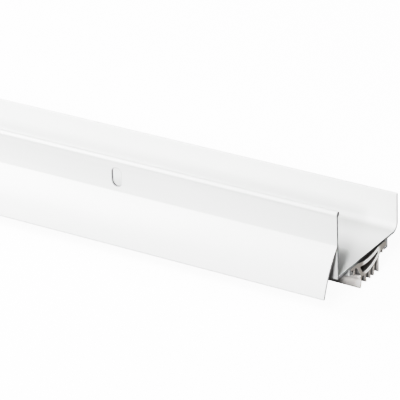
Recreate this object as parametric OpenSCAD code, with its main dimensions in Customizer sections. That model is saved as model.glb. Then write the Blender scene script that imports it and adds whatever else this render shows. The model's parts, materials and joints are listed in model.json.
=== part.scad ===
// U-shaped door sweep with a drip cap.
// X runs along the sweep, Y from the weather side to the room side, Z up.
// The origin is on the floor of the channel, where the door's bottom edge rests.

/* [Door] */
// Thickness of the door that stands in the channel
door_t = 44.45; // [34:0.05:50]
// Play left between the door and the channel
door_play = 0.7; // [0.3:0.1:1.5]

/* [Channel] */
// Length of the sweep
channel_len = 914.4; // [400:0.1:1219.2]
// Thickness of the extruded walls
wall_t = 1.1; // [0.9:0.1:1.6]
// Diameter of the bead along the top of the front leg
bead_d = 2.2; // [1.8:0.1:3]
// Height of the front leg above the floor's underside
front_leg_h = 28.8; // [26:0.1:36]
// Height of the back leg above the floor's underside
back_leg_h = 16.6; // [12:0.1:24]
// Outer radius of the corner under the back leg
corner_r = 4; // [2:0.5:6]

/* [Drip cap] */
// Height of the crease where the drip cap leaves the front leg
drip_crease_h = 14.4; // [12:0.1:16]
// Slope of the drip cap at the crease, below the horizontal
drip_slope = 46; // [35:1:55]
// Radius of the drip cap's outer face
drip_r = 45; // [35:1:70]
// Angle that the drip cap turns through
drip_turn = 27.5; // [20:0.5:35]

/* [Screw slots] */
// Number of slots
slot_count = 4; // [2:1:6]
// Distance from each end to the nearest slot
slot_end = 101; // [40:0.1:150]
// Width of a slot
slot_w = 4.5; // [3:0.1:6]
// Height of a slot, end to end
slot_len = 8.2; // [6.2:0.1:9]
// Height of the slots' centres above the floor's underside
slot_h = 20.7; // [19.5:0.1:23]

/* [Hooks] */
// Distance from the front face to the front hook
front_hook_y = 9.2; // [8:0.1:9.2]
// Depth of the front hook below the floor
front_hook_depth = 2.8; // [2.8:0.1:3]
// Distance from the front face to the outer side of the back hook
back_hook_y = 40; // [40:0.1:41]
// Depth of the back hook below the floor
back_hook_depth = 3.8; // [3.8:0.1:4.2]
// How far the front hook's lip reaches inwards
front_lip = 1.3; // [1:0.1:1.3]
// How far the back hook's lip reaches inwards
back_lip = 2; // [1.5:0.1:2]
// Thickness of the lips
lip_t = 1; // [0.8:0.1:1]

/* [Seal insert] */
// Clearance between the insert and the channel
insert_gap = 0.2; // [0.15:0.05:0.3]
// Thickness of the insert's front foot
foot_t = 1.3; // [1:0.1:1.3]
// Thickness of the insert's thick back foot
back_foot_t = 2.3; // [2:0.1:2.3]
// Thickness of the upper curved wall
upper_t = 1.7; // [1.2:0.1:1.8]
// Radius of the upper curved wall
upper_r = 28; // [26:1:32]
// Thickness of the lower curved wall and of the front wall that it rises to
lower_t = 1.7; // [1.3:0.1:1.7]
// Radius of the lower curved wall
lower_r = 19.5; // [19:0.5:24]
// Thickness of the two small ribs under the back foot
rib_t = 0.7; // [0.6:0.1:0.8]

/* [Fins] */
// Thickness of a fin
fin_t = 0.9; // [0.7:0.1:1]
// Distance from one fin to the next
fin_pitch = 3.4; // [3.2:0.1:3.4]
// Distance from the front face to the first fin
first_fin_y = 18.7; // [18.7:0.1:19]
// Depth of the fins' tips below the floor's underside
fin_tip_depth = 11.2; // [10:0.1:14]
// Clearance around a fin's round root
root_gap = 0.15; // [0.1:0.05:0.2]

/* [Hidden] */
$fn = 96;

paint = "#f4f5f4";
vinyl = "#e9e7e3";
soft_vinyl = "#dedbd6";

// Every outline below is drawn with its first axis from the front face towards the room
// and its second axis up from the floor's underside.
outer_w = door_t + door_play + bead_d + wall_t;
slot_pitch = (channel_len - 2 * slot_end) / (slot_count - 1);
crease_angle = 90 + drip_slope;
drip_centre = [0, drip_crease_h] - drip_r * [cos(crease_angle), sin(crease_angle)];

foot_z = -insert_gap - foot_t / 2;
toe = [front_hook_y + wall_t + insert_gap + foot_t / 2, foot_z];
shin_top = [13.3, foot_z];
shin_end = [13.1, -3.1];
shin_end_r = 0.9;
upper_start = [15.4, -insert_gap - upper_t / 2];
upper_end = [32, -insert_gap - upper_t / 2];
front_wall_top = [16, -1.4];
lower_start = [19.4, -6.6];
lower_end = [34.2, -2.2];
back_foot_y = 32.6;
back_foot_end = back_hook_y - wall_t - insert_gap;
rib_ends = [[33.9, -3.6], [35.7, -4]];

// Centre of the circle of radius r that rises on both sides of the arc from p to q
function arc_centre(p, q, r) =
    let (chord = q - p, half = norm(chord) / 2, up = [-chord.y, chord.x] / norm(chord))
    (p + q) / 2 + up * sqrt(r * r - half * half);

// Place of a fin's root, a constant gap below the lower curved wall
lower_centre = arc_centre(lower_start, lower_end, lower_r);
root_r = lower_r + (lower_t + fin_t) / 2 + root_gap;
function fin_y(i) = first_fin_y + (i - 1) * fin_pitch;
function root_z(i) = lower_centre.y - sqrt(root_r * root_r - pow(fin_y(i) - lower_centre.x, 2));

// A straight wall with round ends
module bar(p, q, t) {
    step = q - p;
    translate(p) circle(d = t);
    translate(q) circle(d = t);
    translate(p) rotate(atan2(step.y, step.x)) translate([0, -t / 2]) square([norm(step), t]);
}

// A curved wall with round ends, sagging between p and q
module arc_bar(p, q, r, t) {
    centre = arc_centre(p, q, r);
    intersection() {
        ring(centre, r + t / 2, t);
        polygon([centre, 2 * p - centre, 2 * q - centre]);
    }
    translate(p) circle(d = t);
    translate(q) circle(d = t);
}

module ring(centre, outer_r, t) {
    translate(centre) difference() {
        circle(r = outer_r, $fn = 360);
        circle(r = outer_r - t, $fn = 360);
    }
}

// Floor and back leg, filled solid out to an outline that is inset by the wall's thickness
module tub(inset) {
    left = inset;
    right = outer_w - inset;
    r = corner_r - inset;
    translate([left, inset]) square([right - r - left, back_leg_h]);
    translate([left, inset + r]) square([right - left, back_leg_h - inset]);
    translate([right - r, inset + r]) circle(r = r);
}

module legs_and_floor() {
    intersection() {
        difference() {
            tub(0);
            tub(wall_t);
        }
        square([outer_w, back_leg_h]);
    }
    bead_centre = [bead_d / 2, front_leg_h - bead_d / 2];
    square([wall_t, bead_centre.y]);
    translate(bead_centre) circle(d = bead_d);
}

module drip_cap() {
    reach = 2 * drip_r;
    end_angle = crease_angle + drip_turn;
    intersection() {
        ring(drip_centre, drip_r, wall_t);
        translate(drip_centre)
            polygon([[0, 0], [0, reach], [-reach, reach], reach * [cos(end_angle), sin(end_angle)]]);
        translate([wall_t / 2 - reach, -reach]) square([reach, 2 * reach]);
    }
}

// A leg that hangs from the floor at y, with a lip that reaches sideways; dir is 1 or -1
module hook(y, depth, lip, dir) {
    translate([y, 0]) scale([dir, 1]) {
        translate([0, -depth]) square([wall_t, depth + wall_t / 2]);
        translate([0, -depth]) square([wall_t + lip, lip_t]);
    }
}

module channel_profile() {
    legs_and_floor();
    drip_cap();
    hook(front_hook_y, front_hook_depth, front_lip, 1);
    hook(back_hook_y, back_hook_depth, back_lip, -1);
}

module insert_profile() {
    bar(toe, upper_start, foot_t);
    bar(shin_top, shin_end, foot_t);
    translate(shin_end) circle(r = shin_end_r);
    bar(front_wall_top, lower_start, lower_t);
    arc_bar(upper_start, upper_end, upper_r, upper_t);
    arc_bar(lower_start, lower_end, lower_r, lower_t);
    translate([back_foot_y, -insert_gap - back_foot_t])
        square([back_foot_end - back_foot_y, back_foot_t]);
    for (rib = rib_ends)
        bar([rib.x, -insert_gap - back_foot_t / 2], rib, rib_t);
}

// Turns an outline into a bar along X, with the origin moved to the top of the floor
module along_x() {
    rotate([90, 0, 90])
        linear_extrude(height = channel_len, center = true)
            translate([-outer_w / 2, -wall_t])
                children();
}

module screw_slot() {
    half = (slot_len - slot_w) / 2;
    translate([0, -outer_w / 2 + wall_t / 2, slot_h - wall_t])
        rotate([90, 0, 0])
            linear_extrude(height = 3 * wall_t, center = true)
                bar([0, -half], [0, half], slot_w);
}

module u_channel() {
    color(paint) difference() {
        along_x() channel_profile();
        for (i = [0 : slot_count - 1])
            translate([slot_end + i * slot_pitch - channel_len / 2, 0, 0]) screw_slot();
    }
}

module insert_base() {
    color(vinyl) along_x() insert_profile();
}

module fin(i) {
    root = [fin_y(i), root_z(i)];
    tip = [fin_y(i), -fin_tip_depth + fin_t / 2];
    color(soft_vinyl) along_x() bar(root, tip, fin_t);
}

u_channel();
insert_base();
fin(1);  // fin_1
fin(2);  // fin_2
fin(3);  // fin_3
fin(4);  // fin_4
fin(5);  // fin_5
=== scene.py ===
"""The looks of the U-shaped door sweep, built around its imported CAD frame, in metres."""

import json
import math

import bmesh
import bpy
import numpy as np
from mathutils import Euler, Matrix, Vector, noise
from mathutils.geometry import delaunay_2d_cdt


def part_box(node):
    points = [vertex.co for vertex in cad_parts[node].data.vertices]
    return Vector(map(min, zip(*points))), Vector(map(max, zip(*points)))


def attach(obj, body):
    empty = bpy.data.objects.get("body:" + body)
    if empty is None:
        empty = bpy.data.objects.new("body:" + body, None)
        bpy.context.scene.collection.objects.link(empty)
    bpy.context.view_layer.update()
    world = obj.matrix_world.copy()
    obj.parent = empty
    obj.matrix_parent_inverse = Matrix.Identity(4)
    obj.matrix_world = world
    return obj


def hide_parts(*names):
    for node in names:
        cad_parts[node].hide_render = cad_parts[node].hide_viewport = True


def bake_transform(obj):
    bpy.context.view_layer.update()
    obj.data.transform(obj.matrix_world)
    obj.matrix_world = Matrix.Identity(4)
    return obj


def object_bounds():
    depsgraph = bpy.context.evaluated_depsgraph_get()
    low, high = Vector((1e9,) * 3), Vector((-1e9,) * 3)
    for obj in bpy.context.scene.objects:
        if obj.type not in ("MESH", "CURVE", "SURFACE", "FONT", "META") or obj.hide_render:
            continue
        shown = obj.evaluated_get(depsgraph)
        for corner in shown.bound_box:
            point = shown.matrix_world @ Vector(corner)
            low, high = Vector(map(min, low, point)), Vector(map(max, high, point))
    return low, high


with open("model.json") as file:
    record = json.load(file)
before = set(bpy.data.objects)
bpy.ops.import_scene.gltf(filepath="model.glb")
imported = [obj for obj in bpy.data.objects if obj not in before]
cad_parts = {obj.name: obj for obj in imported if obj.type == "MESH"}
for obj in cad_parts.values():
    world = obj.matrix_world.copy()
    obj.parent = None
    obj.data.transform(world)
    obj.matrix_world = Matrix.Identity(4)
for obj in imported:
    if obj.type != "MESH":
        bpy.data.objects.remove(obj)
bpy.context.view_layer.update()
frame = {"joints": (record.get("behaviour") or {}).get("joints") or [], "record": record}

MM = 0.001
SHARP = math.radians(32)  # Sides that meet at more than this keep a sharp edge
INSIDE_ONLY = 1  # delaunay_2d_cdt's output type that fills the outlines with triangles
SAME_POINT = 1e-5  # How close together delaunay_2d_cdt takes two points for one, in mm

# ---------------------------------------------------------------- sizes

channel_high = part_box("u_channel")[1]
mounts = {m["name"]: m for m in frame["record"]["mounts"]}
slots = [m for name, m in sorted(mounts.items()) if name.startswith("screw_slot")]
fin_joints = sorted(
    (j for j in frame["joints"] if j["name"].startswith("fin_")), key=lambda j: j["name"]
)

half_length = channel_high.x
front_y = slots[0]["pos_m"][1]
back_y = channel_high.y
wall_t = back_y - mounts["door_room_face"]["pos_m"][1]
floor_z = -wall_t
outer_w = back_y - front_y

# The channel's section, with the numbers of its CAD solid and small rounded edges. Points count
# from the front face and up from the floor's underside.
bead_d = 2.2 * MM
bead_fillet = 0.6 * MM
corner_r = 4.0 * MM
back_leg_h = 16.6 * MM
back_leg_round = 0.4 * MM
edge_round = 0.16 * MM
joint_fillet = 0.3 * MM
slot_roll = 0.22 * MM
slot_roll_steps = 5

drip_crease_h = 14.4 * MM
drip_r = 45 * MM
drip_slope = math.radians(46)
drip_turn = math.radians(27.5)
drip_root_turn = 0.006  # How far the drip cap starts inside the leg, in radians

front_hook_y = 9.2 * MM
front_hook_depth = 2.8 * MM
back_hook_y = 40 * MM
back_hook_depth = 3.8 * MM
front_lip = 1.3 * MM
back_lip = 2.0 * MM
lip_t = 1.0 * MM

# The insert's section
insert_gap = 0.2 * MM
foot_t = 1.3 * MM
shin_top_y = 13.3 * MM
shin_end = (13.1 * MM, -3.1 * MM)
shin_end_d = 1.8 * MM
upper_t = 1.7 * MM
upper_r = 28 * MM
upper_start_y = 15.4 * MM
upper_end_y = 32 * MM
lower_t = 1.7 * MM
lower_r = 19.5 * MM
front_wall_top = (16 * MM, -1.4 * MM)
lower_start = (19.4 * MM, -6.6 * MM)
lower_end = (34.2 * MM, -2.2 * MM)
back_foot_t = 2.3 * MM
back_foot_y = 32 * MM
back_foot_round = 0.3 * MM
rib_t = 0.7 * MM
rib_ends = [(33.9 * MM, -3.6 * MM), (35.7 * MM, -4 * MM)]
insert_fillet = 0.5 * MM

# How far each fin's tip leans towards the room, or to the front if below 0, judged from the
# cut end in the photo. The first fin's tip also hangs lower.
fin_leans = [lean * MM for lean in (-0.75, 0.5, 0.25, -0.5, 0.1)]
first_fin_droop = 0.9 * MM

# A fin flares where it leaves the insert, and is a little shorter than the insert at both ends.
fin_root_in = 0.9 * MM
fin_flare = 0.25 * MM
fin_flare_in = 0.8 * MM
fin_fillet = 1.4 * MM
fin_shy = 0.03 * MM

# A fin waves along X, in a slow wave and a quick ripple. The rates are per metre.
wave_rate = 45
wave_mm = 0.3
wave_lift_mm = 0.12
ripple_rate = 210
ripple_mm = 0.1

# Both cut ends have a small chamfer. The insert and fins have rings of points along X.
end_chamfer = 0.08 * MM
fin_chamfer = 0.05 * MM
insert_rings = 31
fin_rings = 181
span = (-half_length, half_length)


# ---------------------------------------------------------------- outlines
# An outline is the zero line of a distance field in the section's plane. Its first axis runs from
# the front face towards the room, and its second axis up from the floor's underside.


def capsule(p, q, t):
    """Distance to a straight wall of thickness t with round ends, or to a disc if p is q."""
    p, q = np.array(p), np.array(q)
    step = q - p

    def field(y, z):
        along = ((y - p[0]) * step[0] + (z - p[1]) * step[1]) / max(step @ step, 1e-18)
        along = np.clip(along, 0, 1)
        return np.hypot(y - p[0] - along * step[0], z - p[1] - along * step[1]) - t / 2

    return field


def block(low, high, r=edge_round):
    """Distance to a rectangle with rounded corners."""
    middle = ((low[0] + high[0]) / 2, (low[1] + high[1]) / 2)
    half = ((high[0] - low[0]) / 2 - r, (high[1] - low[1]) / 2 - r)

    def field(y, z):
        dy, dz = abs(y - middle[0]) - half[0], abs(z - middle[1]) - half[1]
        outside = np.hypot(np.maximum(dy, 0), np.maximum(dz, 0))
        return outside + np.minimum(np.maximum(dy, dz), 0) - r

    return field


def curved(centre, r, start, turn, t):
    """Distance to a curved wall whose middle line has radius r, from one angle through a turn."""
    middle, half = start + turn / 2, abs(turn) / 2
    ends = [
        (centre[0] + r * math.cos(a), centre[1] + r * math.sin(a)) for a in (start, start + turn)
    ]

    def field(y, z):
        angle = np.arctan2(z - centre[1], y - centre[0])
        off = np.abs((angle - middle + math.pi) % (2 * math.pi) - math.pi)
        on_arc = np.abs(np.hypot(y - centre[0], z - centre[1]) - r)
        to_end = np.minimum(*(np.hypot(y - e[0], z - e[1]) for e in ends))
        return np.where(off <= half, on_arc, to_end) - t / 2

    return field


def sagging(p, q, r, t):
    """Distance to a curved wall that sags between p and q with radius r."""
    chord = np.array(q) - np.array(p)
    half = np.linalg.norm(chord) / 2
    up = np.array([-chord[1], chord[0]]) / (2 * half)
    centre = (np.array(p) + np.array(q)) / 2 + up * math.sqrt(r * r - half * half)
    start, end = (math.atan2(e[1] - centre[1], e[0] - centre[0]) for e in (p, q))
    return curved(centre, r, start, end - start, t)


def merged(fields, fillet):
    """Union of several fields, with a fillet where they meet."""

    def field(y, z):
        total = fields[0](y, z)
        for other in fields[1:]:
            d = other(y, z)
            h = np.maximum(fillet - np.abs(total - d), 0) / fillet
            total = np.minimum(total, d) - h * h * fillet / 4
        return total

    return field


def joined(*fields):
    """Union of walls that run into each other in line, so that no fillet swells them."""
    return lambda y, z: np.minimum.reduce([field(y, z) for field in fields])


def zero_lines(field, low, high, step):
    """The closed lines where the field is zero, by marching squares."""
    ys = np.arange(low[0], high[0] + step, step)
    zs = np.arange(low[1], high[1] + step, step)
    d = field(*np.meshgrid(ys, zs, indexing="ij"))
    d = np.where(np.abs(d) < 1e-12, 1e-12, d)  # No grid point lies right on the line
    inside = d < 0

    def crossing(a, b):
        share = d[a] / (d[a] - d[b])
        return (
            ys[a[0]] + share * (ys[b[0]] - ys[a[0]]),
            zs[a[1]] + share * (zs[b[1]] - zs[a[1]]),
        )

    corners = inside[:-1, :-1] + inside[1:, :-1] * 2 + inside[1:, 1:] * 4 + inside[:-1, 1:] * 8
    follows, places = {}, {}
    for i, j in np.argwhere((corners > 0) & (corners < 15)):
        ring = [(i, j), (i + 1, j), (i + 1, j + 1), (i, j + 1)]
        ring = [(int(a), int(b)) for a, b in ring]
        leaving, entering = [], []
        for a, b in zip(ring, ring[1:] + ring[:1]):
            if inside[a] == inside[b]:
                continue
            key = (min(a, b), max(a, b))
            places.setdefault(key, crossing(*key))
            (leaving if inside[a] else entering).append(key)
        for a, b in zip(leaving, entering):
            follows[b] = a
    lines = []
    while follows:
        key, nxt = follows.popitem()
        line = [key]
        while nxt in follows:
            line.append(nxt)
            nxt = follows.pop(nxt)
        lines.append([places[k] for k in line])
    return lines


def thinned(line, tolerance):
    """The line with only the points that its shape needs (Douglas-Peucker on a closed line)."""
    points = np.array(line)
    far = int(np.argmax(np.linalg.norm(points - points[0], axis=1)))
    keep = {0, far}
    spans = [(0, far), (far, len(points))]
    points = np.vstack([points, points[:1]])
    while spans:
        a, b = spans.pop()
        if b - a < 2:
            continue
        step = points[b] - points[a]
        off = points[a + 1 : b] - points[a]
        length = np.linalg.norm(step)
        if length > 1e-9:
            gap = np.abs(off[:, 0] * step[1] - off[:, 1] * step[0]) / length
        else:
            gap = np.linalg.norm(off, axis=1)
        worst = int(np.argmax(gap))
        if gap[worst] > tolerance:
            middle = a + 1 + worst
            keep.add(middle)
            spans += [(a, middle), (middle, b)]
    return points[sorted(keep)]


def outline(field, low, high, step=0.05 * MM, tolerance=0.003 * MM):
    """The outline's loops in the row frame, the outer one first, without specks."""
    loops = [thinned(line, tolerance) for line in zero_lines(field, low, high, step)]
    loops = [loop + np.array([front_y, floor_z]) for loop in loops if len(loop) > 6]
    return sorted(loops, key=lambda loop: -abs(area(loop)))


def area(loop):
    y, z = loop[:, 0], loop[:, 1]
    return float(np.sum(y * np.roll(z, -1) - np.roll(y, -1) * z)) / 2


def inset(loop, distance):
    """Every point moved inwards along the bisector of its two sides, less far at sharp corners."""
    side = np.roll(loop, -1, axis=0) - loop
    side /= np.linalg.norm(side, axis=1)[:, None]
    normal = np.stack([side[:, 1], -side[:, 0]], axis=1)
    both = normal + np.roll(normal, 1, axis=0)
    both /= np.maximum((both * both).sum(axis=1)[:, None] / 2, 0.5)
    return loop + both * distance


# ---------------------------------------------------------------- meshes


def encloses(ring, point):
    """Whether the point is inside the ring, by counting the sides it looks across."""
    y, z = ring[:, 0] - point[0], ring[:, 1] - point[1]
    y_next, z_next = np.roll(y, -1), np.roll(z, -1)
    spans = (z > 0) != (z_next > 0)
    run = np.where(spans, z_next - z, 1.0)
    return bool(np.count_nonzero(spans & (y - z * (y_next - y) / run > 0)) % 2)


def filled(verts, rings):
    """Faces that fill the outer ring of points and leave the inner rings open."""
    index = [v for ring in rings for v in ring]
    places = [Vector(verts[v][1:]) / MM for v in index]
    sides, start, outlines = [], 0, []
    for ring in rings:
        n = len(ring)
        sides += [(start + i, start + (i + 1) % n) for i in range(n)]
        outlines.append(np.array(places[start : start + n]))
        start += n
    triangles = delaunay_2d_cdt(places, sides, [], INSIDE_ONLY, SAME_POINT)[2]
    kept = []
    for face in triangles:
        middle = sum((places[v] for v in face), Vector((0, 0))) / len(face)
        if encloses(outlines[0], middle) and not any(encloses(o, middle) for o in outlines[1:]):
            kept.append(tuple(index[v] for v in face))
    return kept


def extrusion(name, loops, stations, chamfer):
    """A bar along X with these outlines. stations lists the places along X where it has a ring of
    points. The cut ends have a small chamfer and the material of slot 1."""
    first, last = stations[0], stations[-1]
    rings = [(first, chamfer), (first + chamfer, 0.0)]
    rings += [(x, 0.0) for x in stations[1:-1]]
    rings += [(last - chamfer, 0.0), (last, chamfer)]
    verts, faces, caps = [], [], []
    for loop in loops:
        base, n = len(verts), len(loop)
        for x, cut in rings:
            points = inset(loop, cut) if cut else loop
            verts += [(x, y, z) for y, z in points]
        for k in range(len(rings) - 1):
            for i in range(n):
                j = (i + 1) % n
                a, b = base + k * n, base + (k + 1) * n
                faces.append((a + i, a + j, b + j, b + i))
    starts = np.cumsum([0] + [len(loop) * len(rings) for loop in loops])
    for k in (0, len(rings) - 1):
        edge_of = [
            [int(start) + k * len(loop) + i for i in range(len(loop))]
            for loop, start in zip(loops, starts)
        ]
        caps += filled(verts, edge_of)
    mesh = bpy.data.meshes.new(name)
    mesh.from_pydata(verts, [], faces + caps)
    mesh.polygons.foreach_set("material_index", [0] * len(faces) + [1] * len(caps))
    finish_mesh(mesh)
    piece = bpy.data.objects.new(name, mesh)
    bpy.context.scene.collection.objects.link(piece)
    return piece


def finish_mesh(mesh):
    """Outward faces, smooth shading and sharp edges where the surface really turns."""
    work = bmesh.new()
    work.from_mesh(mesh)
    bmesh.ops.recalc_face_normals(work, faces=work.faces)
    work.to_mesh(mesh)
    work.free()
    mesh.shade_smooth()
    mesh.set_sharp_from_angle(angle=SHARP)


def oblong(width, height, grow, y, centre, steps=14):
    """One ring of points round an upright oblong, at depth y."""
    r = width / 2 + grow
    rise = (height - width) / 2
    ring = []
    for up in (1, -1):
        for k in range(steps + 1):
            a = math.pi * k / steps + (0 if up > 0 else math.pi)
            ring.append(
                (centre.x + r * math.cos(a), y, centre.z + up * rise + r * math.sin(a))
            )
    return ring


def slot_cutter(slot):
    """The tool that punches one slot: it flares out at the front face, where the sheet rolls in."""
    width = 2 * slot["dims"]["hole_r_mm"] * MM
    height = slot["dims"]["slot_length_mm"] * MM
    centre = Vector(slot["pos_m"])
    depths = [(-slot_roll, 2 * slot_roll)]
    for k in range(slot_roll_steps + 1):
        a = math.pi / 2 * k / slot_roll_steps
        depths.append((slot_roll * (1 - math.cos(a)), slot_roll * (1 - math.sin(a))))
    depths.append((2 * wall_t, 0.0))
    work = bmesh.new()
    rings = [
        [work.verts.new(p) for p in oblong(width, height, grow, front_y + depth, centre)]
        for depth, grow in depths
    ]
    for a, b in zip(rings, rings[1:]):
        n = len(a)
        for i in range(n):
            work.faces.new((a[i], a[(i + 1) % n], b[(i + 1) % n], b[i]))
    work.faces.new(rings[0])
    work.faces.new(rings[-1])
    bmesh.ops.recalc_face_normals(work, faces=work.faces)
    mesh = bpy.data.meshes.new("cutter")
    work.to_mesh(mesh)
    work.free()
    mesh.polygons.foreach_set("material_index", [1] * len(mesh.polygons))
    return bpy.data.objects.new("cutter", mesh)


def punch(piece, cutters):
    """Cuts the cutters out of the piece for good. The new faces get the material of slot 1."""
    for cutter in cutters:
        paint(cutter, *piece.data.materials)
        bpy.context.scene.collection.objects.link(cutter)
        cut = piece.modifiers.new("cut", "BOOLEAN")
        cut.operation = "DIFFERENCE"
        cut.solver = "EXACT"
        cut.object = cutter
        bpy.context.view_layer.update()
        solid = piece.evaluated_get(bpy.context.evaluated_depsgraph_get())
        mesh = bpy.data.meshes.new_from_object(solid)
        piece.modifiers.clear()
        piece.data = mesh
        bpy.data.objects.remove(cutter)
    piece.data.shade_smooth()
    piece.data.set_sharp_from_angle(angle=SHARP)


# ---------------------------------------------------------------- sections


def channel_field():
    """The aluminium section."""
    leg_top = channel_high.z - floor_z
    bead = (bead_d / 2, leg_top - bead_d / 2)
    r = corner_r - wall_t / 2
    mid = wall_t / 2
    back = outer_w - mid
    start = math.pi / 2 + drip_slope
    centre = (drip_r * math.sin(drip_slope), drip_crease_h - drip_r * math.cos(drip_slope))
    tip_cut = (wall_t / 2) / drip_r
    arc_turn = drip_turn + drip_root_turn - tip_cut
    overlap = 1 * MM
    legs_and_floor = joined(
        block((0, 0), (wall_t, bead[1])),
        block((0, 0), (outer_w - corner_r, wall_t)),
        curved((back - r, mid + r), r, -math.pi / 2, math.pi / 2, wall_t),
        block((outer_w - wall_t, corner_r - overlap), (outer_w, back_leg_h), back_leg_round),
    )
    drip = curved(centre, drip_r - wall_t / 2, start - drip_root_turn, arc_turn, wall_t)
    front_hook = joined(
        block((front_hook_y, -front_hook_depth), (front_hook_y + wall_t, wall_t / 2)),
        block(
            (front_hook_y, -front_hook_depth),
            (front_hook_y + wall_t + front_lip, lip_t - front_hook_depth),
        ),
    )
    back_hook = joined(
        block((back_hook_y - wall_t, -back_hook_depth), (back_hook_y, wall_t / 2)),
        block(
            (back_hook_y - wall_t - back_lip, -back_hook_depth),
            (back_hook_y, lip_t - back_hook_depth),
        ),
    )
    with_bead = merged([legs_and_floor, capsule(bead, bead, bead_d)], bead_fillet)
    return merged([with_bead, drip, front_hook, back_hook], joint_fillet)


def insert_field():
    """The stiff vinyl section, within about 0.6 mm of its CAD solid."""
    foot_z = -insert_gap - foot_t / 2
    toe = (front_hook_y + wall_t + insert_gap + foot_t / 2, foot_z)
    upper_z = -insert_gap - upper_t / 2
    foot_low = (back_foot_y, -insert_gap - back_foot_t)
    foot_high = (back_hook_y - wall_t - insert_gap, -insert_gap)
    rib_top = -insert_gap - back_foot_t / 2
    upper_half = joined(
        capsule(toe, (upper_start_y, foot_z), foot_t),
        sagging((upper_start_y, upper_z), (upper_end_y, upper_z), upper_r, upper_t),
        block(foot_low, foot_high, back_foot_round),
    )
    lower_half = joined(
        capsule(front_wall_top, lower_start, lower_t),
        sagging(lower_start, lower_end, lower_r, lower_t),
    )
    shin = joined(
        capsule((shin_top_y, foot_z), shin_end, foot_t), capsule(shin_end, shin_end, shin_end_d)
    )
    ribs = [capsule((end[0], rib_top), end, rib_t) for end in rib_ends]
    return merged([upper_half, lower_half, shin, *ribs], insert_fillet)


def fin_field(y, root, tip, thick):
    """The section of the fin at y, with its root and its tip at these heights."""
    neck = root + fin_flare_in
    blade = capsule((y, root + fin_root_in), (y, tip + thick / 2), thick)
    flare = capsule((y - fin_flare, neck), (y + fin_flare, neck), thick)
    return merged([blade, flare], fin_fillet)


# ---------------------------------------------------------------- materials


# Where the middle of the insert's hollow is, and the near-black painted shade of the vinyl deep in
# hollows
hollow = (front_y + 27 * MM, floor_z - 3 * MM)
painted_hollow_shade = (0.03, 0.026, 0.022, 1)


class Nodes:
    """A short way to write a node tree."""

    def __init__(self, name):
        self.material = bpy.data.materials.new(name)
        self.material.use_nodes = True
        self.tree = self.material.node_tree
        self.shader = self.tree.nodes["Principled BSDF"]
        coordinates = self.add("ShaderNodeTexCoord")
        self.place = coordinates.outputs["Object"]
        self.facing = coordinates.outputs["Normal"]

    def feed(self, socket, value):
        """Links another node's socket to this one, or sets a plain value on it."""
        if isinstance(value, bpy.types.NodeSocket):
            self.tree.links.new(value, socket)
        else:
            socket.default_value = value

    def add(self, kind, inputs=(), **settings):
        node = self.tree.nodes.new(kind)
        for key, value in settings.items():
            setattr(node, key, value)
        for key, value in dict(inputs).items():
            self.feed(node.inputs[key], value)
        return node

    def noise(self, stretch, detail=2.0):
        """Noise with a size along each axis, in metres."""
        size = self.add(
            "ShaderNodeMapping",
            {"Vector": self.place, "Scale": [1 / s for s in stretch]},
        )
        return self.add(
            "ShaderNodeTexNoise",
            {"Vector": size.outputs[0], "Scale": 1.0, "Detail": detail, "Roughness": 0.5},
        ).outputs["Fac"]

    def between(self, value, low, high):
        """Spreads a noise's usual range, 0.3 to 0.7, over low to high."""
        return self.add(
            "ShaderNodeMapRange",
            {"Value": value, "From Min": 0.3, "From Max": 0.7, "To Min": low, "To Max": high},
        ).outputs[0]

    def mix(self, share, a, b):
        return self.add("ShaderNodeMix", {0: share, 6: a, 7: b}, data_type="RGBA").outputs[2]

    def facing_up(self):
        """1 on surfaces that face up and 0 on upright ones."""
        parts = self.add("ShaderNodeSeparateXYZ", {"Vector": self.facing})
        return self.add(
            "ShaderNodeMapRange", {"Value": parts.outputs["Z"], "From Min": 0.3, "From Max": 0.9}
        ).outputs[0]

    def near(self, centre, reach, fade):
        """1 within reach of a line along X, falling to 0 over the fade beyond it."""
        across = self.add(
            "ShaderNodeVectorMath", {0: self.place, 1: (0, 1, 1)}, operation="MULTIPLY"
        )
        gap = self.add(
            "ShaderNodeVectorMath", {0: across.outputs[0], 1: (0, *centre)}, operation="DISTANCE"
        )
        return self.add(
            "ShaderNodeMapRange",
            {"Value": gap.outputs["Value"], "From Min": reach, "From Max": reach + fade,
             "To Min": 1, "To Max": 0},
            interpolation_type="SMOOTHSTEP",
        ).outputs[0]

    def open_share(self, reach, power):
        """1 in the open, down to 0 deep in a hollow narrower than reach."""
        seen = self.add("ShaderNodeAmbientOcclusion", {"Distance": reach}, samples=6)
        return self.add(
            "ShaderNodeMath", {0: seen.outputs["AO"], 1: power}, operation="POWER"
        ).outputs[0]

    def bump(self, height, depth, normal=None):
        inputs = {"Height": height, "Distance": depth, "Strength": 1.0}
        if normal is not None:
            inputs["Normal"] = normal
        return self.add("ShaderNodeBump", inputs).outputs[0]

    def set(self, color, **values):
        """Feeds the shader's sockets and returns the material."""
        self.feed(self.shader.inputs["Base Color"], color)
        for key, value in values.items():
            self.feed(self.shader.inputs[key.replace("_", " ").title()], value)
        return self.material


def white_paint():
    """White baked paint: a faint orange peel over the die lines of the extrusion. Its upward faces
    get painted shade in hollows, which was fitted to the photo's tones."""
    n = Nodes("white_paint")
    peel = n.noise((1.1 * MM, 0.9 * MM, 0.9 * MM), detail=1.5)
    lines = n.noise((220 * MM, 0.35 * MM, 0.35 * MM), detail=3)
    cloud = n.noise((60 * MM, 14 * MM, 14 * MM), detail=3)
    base_tone = n.mix(n.between(cloud, 0, 1), (0.70, 0.708, 0.702, 1), (0.74, 0.743, 0.738, 1))
    # Painted shade: the colour falls towards near black deep in hollows
    painted_shade = n.mix(n.open_share(14 * MM, 1.7), (0.17, 0.175, 0.16, 1), base_tone)
    return n.set(
        # The painted shade goes on upward faces only
        color=n.mix(n.facing_up(), base_tone, painted_shade),
        roughness=n.between(peel, 0.3, 0.38),
        normal=n.bump(peel, 0.01 * MM, n.bump(lines, 0.012 * MM)),
        coat_weight=0.15,
        coat_roughness=0.2,
    )


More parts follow.
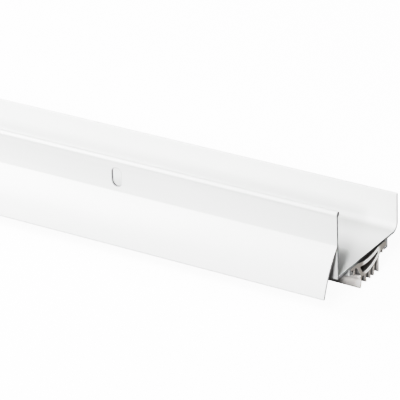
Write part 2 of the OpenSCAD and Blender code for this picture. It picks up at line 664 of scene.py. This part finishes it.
def cut_aluminium():
    """The sawn end: bare metal with the saw's fine level marks. It is dark round the hollow, which
    was fitted to the photo's tones."""
    n = Nodes("cut_aluminium")
    marks = n.noise((0.05 * MM, 3.5 * MM, 0.09 * MM), detail=2)
    cloud = n.noise((2 * MM, 2 * MM, 2 * MM), detail=3)
    base_tone = n.mix(n.between(cloud, 0, 1), (0.24, 0.242, 0.245, 1), (0.42, 0.423, 0.426, 1))
    return n.set(
        color=n.mix(n.near(hollow, 9 * MM, 6 * MM), base_tone, (0.03, 0.029, 0.028, 1)),
        metallic=0.4,
        roughness=n.between(marks, 0.4, 0.6),
        normal=n.bump(marks, 0.02 * MM),
    )


def vinyl(name, dark, light, roughness, reach, power):
    """Extruded PVC, slightly waxy, with long die lines and a little cloudiness. It gets painted
    shade in hollows, which was fitted to the photo's tones."""
    n = Nodes(name)
    lines = n.noise((160 * MM, 0.25 * MM, 0.25 * MM), detail=3)
    cloud = n.noise((12 * MM, 4 * MM, 4 * MM), detail=3)
    grain = n.noise((0.25 * MM, 0.25 * MM, 0.25 * MM), detail=2)
    base_tone = n.mix(n.between(cloud, 0, 1), dark, light)
    return n.set(
        # Painted shade: the colour falls towards near black deep in hollows, darkest in the
        # insert's voids
        color=n.mix(n.open_share(reach, power), painted_hollow_shade, base_tone),
        roughness=n.between(grain, roughness - 0.05, roughness + 0.06),
        normal=n.bump(grain, 0.006 * MM, n.bump(lines, 0.03 * MM)),
    )


def cut_vinyl(name, dark, light, outer):
    """The cut end of the vinyl, with fine upright streaks. Away from the hollow it has the outer
    tint, which was fitted to the photo's tones."""
    n = Nodes(name)
    streaks = n.noise((0.4 * MM, 0.12 * MM, 1.6 * MM), detail=3)
    cloud = n.noise((1.5 * MM, 1.2 * MM, 1.2 * MM), detail=3)
    middle = n.mix(n.between(cloud, 0, 1), dark, light)
    return n.set(
        color=n.mix(n.near(hollow, 5 * MM, 3 * MM), outer, middle),
        roughness=n.between(streaks, 0.5, 0.7),
        normal=n.bump(streaks, 0.05 * MM),
    )


def paint(piece, *materials):
    for material in materials:
        piece.data.materials.append(material)


# ---------------------------------------------------------------- pieces

channel_loops = outline(channel_field(), low=(-12.5 * MM, -5.5 * MM), high=(50 * MM, 30 * MM))
channel = extrusion("channel_body", channel_loops[:1], span, end_chamfer)
paint(channel, white_paint(), cut_aluminium())
punch(channel, [slot_cutter(slot) for slot in slots])
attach(channel, "channel")
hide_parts("u_channel")

stiff = vinyl(
    "stiff_vinyl",
    dark=(0.62, 0.605, 0.585, 1),
    light=(0.68, 0.665, 0.648, 1),
    roughness=0.42,
    reach=8 * MM,
    power=6.0,
)
soft = vinyl(
    "soft_vinyl",
    dark=(0.83, 0.8, 0.775, 1),
    light=(0.88, 0.86, 0.84, 1),
    roughness=0.5,
    reach=4 * MM,
    power=1.8,
)
stiff_cut = cut_vinyl(
    "stiff_vinyl_cut",
    dark=(0.8, 0.785, 0.765, 1),
    light=(0.92, 0.91, 0.89, 1),
    outer=(0.3, 0.275, 0.25, 1),
)
soft_cut = cut_vinyl(
    "soft_vinyl_cut",
    dark=(0.26, 0.235, 0.21, 1),
    light=(0.42, 0.39, 0.36, 1),
    outer=(0.24, 0.215, 0.19, 1),
)

insert_loops = outline(insert_field(), low=(9 * MM, -9 * MM), high=(40 * MM, 1 * MM))
insert_stations = np.linspace(*span, insert_rings)
insert = extrusion("seal_insert", insert_loops[:2], insert_stations, end_chamfer)
paint(insert, stiff, stiff_cut)
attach(insert, "insert")
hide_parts("insert_base")


def ruffle(fin, number, root, tip):
    """Leans the fin and waves it along X, more towards its tip. Each fin has its own waves."""
    for v in fin.data.vertices:
        reach = min(max((root + floor_z - v.co.z) / (root - tip), 0), 1)
        wave = noise.noise(Vector((v.co.x * wave_rate, number * 7.3, 0)))
        ripple = noise.noise(Vector((v.co.x * ripple_rate, number * 3.1, 5)))
        sway = fin_leans[number - 1] + (wave_mm * wave + ripple_mm * ripple) * MM
        droop = first_fin_droop if number == 1 else 0
        v.co.y += reach**1.5 * sway
        v.co.z += reach**2 * (wave_lift_mm * wave * MM - droop)


def make_fin(number, joint):
    node = f"fin_{number}"
    low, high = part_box(node)
    y = (low.y + high.y) / 2 - front_y
    root = joint["pos_m"][2] - floor_z
    tip = low.z - floor_z
    loops = outline(
        fin_field(y, root, tip, high.y - low.y),
        low=(y - 2 * MM, tip - 1 * MM),
        high=(y + 2 * MM, root + 3 * MM),
        step=0.04 * MM,
        tolerance=0.004 * MM,
    )
    stations = np.linspace(span[0] + fin_shy, span[1] - fin_shy, fin_rings)
    fin = extrusion(f"seal_fin_{number}", loops[:1], stations, fin_chamfer)
    ruffle(fin, number, root, tip)
    paint(fin, soft, soft_cut)
    hinge = Vector(joint["pos_m"])
    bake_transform(fin)
    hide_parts(node)


for number, joint in enumerate(fin_joints, 1):
    make_fin(number, joint)


# ---------------------------------------------------------------- stage, light and camera

ground_half = 30.0
ground_gap = 0.1 * MM
ground_glow = 3.0
sky_light = 0.03
sky_fade = (-0.1, 0.3)  # The sky grows from none to full between these heights, -1 to 1
studio = 4.0  # How far most lights stand from what they are aimed at

# The tone curve. Its shoulder starts at this level, and it reaches up to the brightest one.
shoulder_start = 0.637
shoulder_rise = 0.3
brightest = 6.0
tone_points = 16


def make_floor():
    """A pale floor that glows like a light table, so that it stays white to its edge. It gives no
    light to the object, whose undersides are dark in the photograph."""
    n = Nodes("floor_white")
    haze = n.noise((0.4, 0.4, 0.4), detail=2)
    tint = n.mix(n.between(haze, 0, 1), (0.9, 0.9, 0.9, 1), (0.93, 0.93, 0.93, 1))
    white = (1, 1, 1, 1)
    n.set(color=tint, roughness=0.6, emission_strength=ground_glow, emission_color=white)
    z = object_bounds()[0].z - ground_gap
    corners = [(-1, -1), (1, -1), (1, 1), (-1, 1)]
    verts = [(x * ground_half, y * ground_half, z) for x, y in corners]
    mesh = bpy.data.meshes.new("floor")
    mesh.from_pydata(verts, [], [(0, 1, 2, 3)])
    mesh.materials.append(n.material)
    floor = bpy.data.objects.new("floor", mesh)
    bpy.context.scene.collection.objects.link(floor)
    floor.visible_diffuse = False
    floor.visible_glossy = False


def make_world():
    """A faint sky that fades to nothing at about the horizon."""
    world = bpy.data.worlds.new("studio")
    bpy.context.scene.world = world
    world.use_nodes = True
    tree = world.node_tree
    back = tree.nodes["Background"]
    place = tree.nodes.new("ShaderNodeTexCoord")
    parts = tree.nodes.new("ShaderNodeSeparateXYZ")
    fade = tree.nodes.new("ShaderNodeMapRange")
    tree.links.new(place.outputs["Generated"], parts.inputs[0])
    tree.links.new(parts.outputs["Z"], fade.inputs["Value"])
    fade.inputs["From Min"].default_value, fade.inputs["From Max"].default_value = sky_fade
    tree.links.new(fade.outputs[0], back.inputs["Color"])
    back.inputs["Strength"].default_value = sky_light


def softbox(name, size, power, azimuth, elevation, distance=studio, aim_x=0.0):
    """An area light aimed at a point on the X axis. Azimuth 0 is in front and 90 is off the right
    end."""
    light = bpy.data.lights.new(name, "AREA")
    light.shape = "RECTANGLE"
    light.size, light.size_y = size
    light.energy = power
    lamp = bpy.data.objects.new(name, light)
    way = direction(azimuth, elevation)
    lamp.location = Vector((aim_x, 0, 0)) + way * distance
    lamp.rotation_euler = (-way).to_track_quat("-Z", "Y").to_euler()
    lamp.visible_camera = False
    bpy.context.scene.collection.objects.link(lamp)


def direction(azimuth, elevation):
    """The unit vector towards this azimuth and elevation, in degrees."""
    azimuth, elevation = math.radians(azimuth), math.radians(elevation)
    level = math.cos(elevation)
    return Vector((math.sin(azimuth) * level, -math.cos(azimuth) * level, math.sin(elevation)))


def shoulder(level):
    """The tone that a light level above the shoulder's start is shown as."""
    rise = (level - shoulder_start) * shoulder_rise / (1 - shoulder_start)
    return shoulder_start + (1 - shoulder_start) * (1 - math.exp(-rise))


def make_tone():
    """A soft shoulder: light tones close up towards white and darker ones keep their contrast."""
    view = bpy.context.scene.view_settings
    view.view_transform = "Standard"
    view.use_curve_mapping = True
    mapping = view.curve_mapping
    mapping.white_level = (brightest, brightest, brightest)
    mapping.extend = "HORIZONTAL"
    curve = mapping.curves[3]  # The one for all three colours together
    curve.points[0].location = (0, 0)
    curve.points[-1].location = (1, shoulder(brightest))
    for k in range(tone_points):
        level = shoulder_start + (brightest - shoulder_start) * (k / tone_points) ** 2
        curve.points.new(level / brightest, shoulder(level))
    for point in curve.points:
        point.handle_type = "VECTOR"
    mapping.update()


def make_camera():
    """A long lens, from the front, the right end and above, aimed near the right end. Its place was
    solved from the edges in the photo."""
    distance = 1.1598
    aim = Vector((half_length - 77.5 * MM, 0, 4.5 * MM))
    back = direction(azimuth=33.105, elevation=26.135)
    roll = math.radians(-2.07)
    data = bpy.data.cameras.new("camera")
    data.lens = 258.9
    data.clip_start, data.clip_end = 0.05, 100
    camera = bpy.data.objects.new("camera", data)
    turn = (-back).to_track_quat("-Z", "Y") @ Euler((0, 0, roll)).to_quaternion()
    camera.rotation_mode = "QUATERNION"
    camera.rotation_quaternion = turn
    camera.location = aim + back * distance
    bpy.context.scene.collection.objects.link(camera)
    bpy.context.scene.camera = camera


make_floor()
make_world()
softbox("key", size=(1.6, 1.2), power=190, azimuth=11, elevation=46, aim_x=0.25)
softbox("low_fill", size=(0.4, 0.3), power=120, azimuth=20, elevation=24, aim_x=0.25)
softbox(
    "left_fill", size=(0.4, 0.3), power=8.5, azimuth=-30, elevation=44, distance=0.5, aim_x=0.1
)
softbox("right_fill", size=(0.8, 0.8), power=110, azimuth=86, elevation=6, aim_x=0.25)
softbox("back_fill", size=(2.4, 0.4), power=130, azimuth=185, elevation=3)
make_camera()
make_tone()
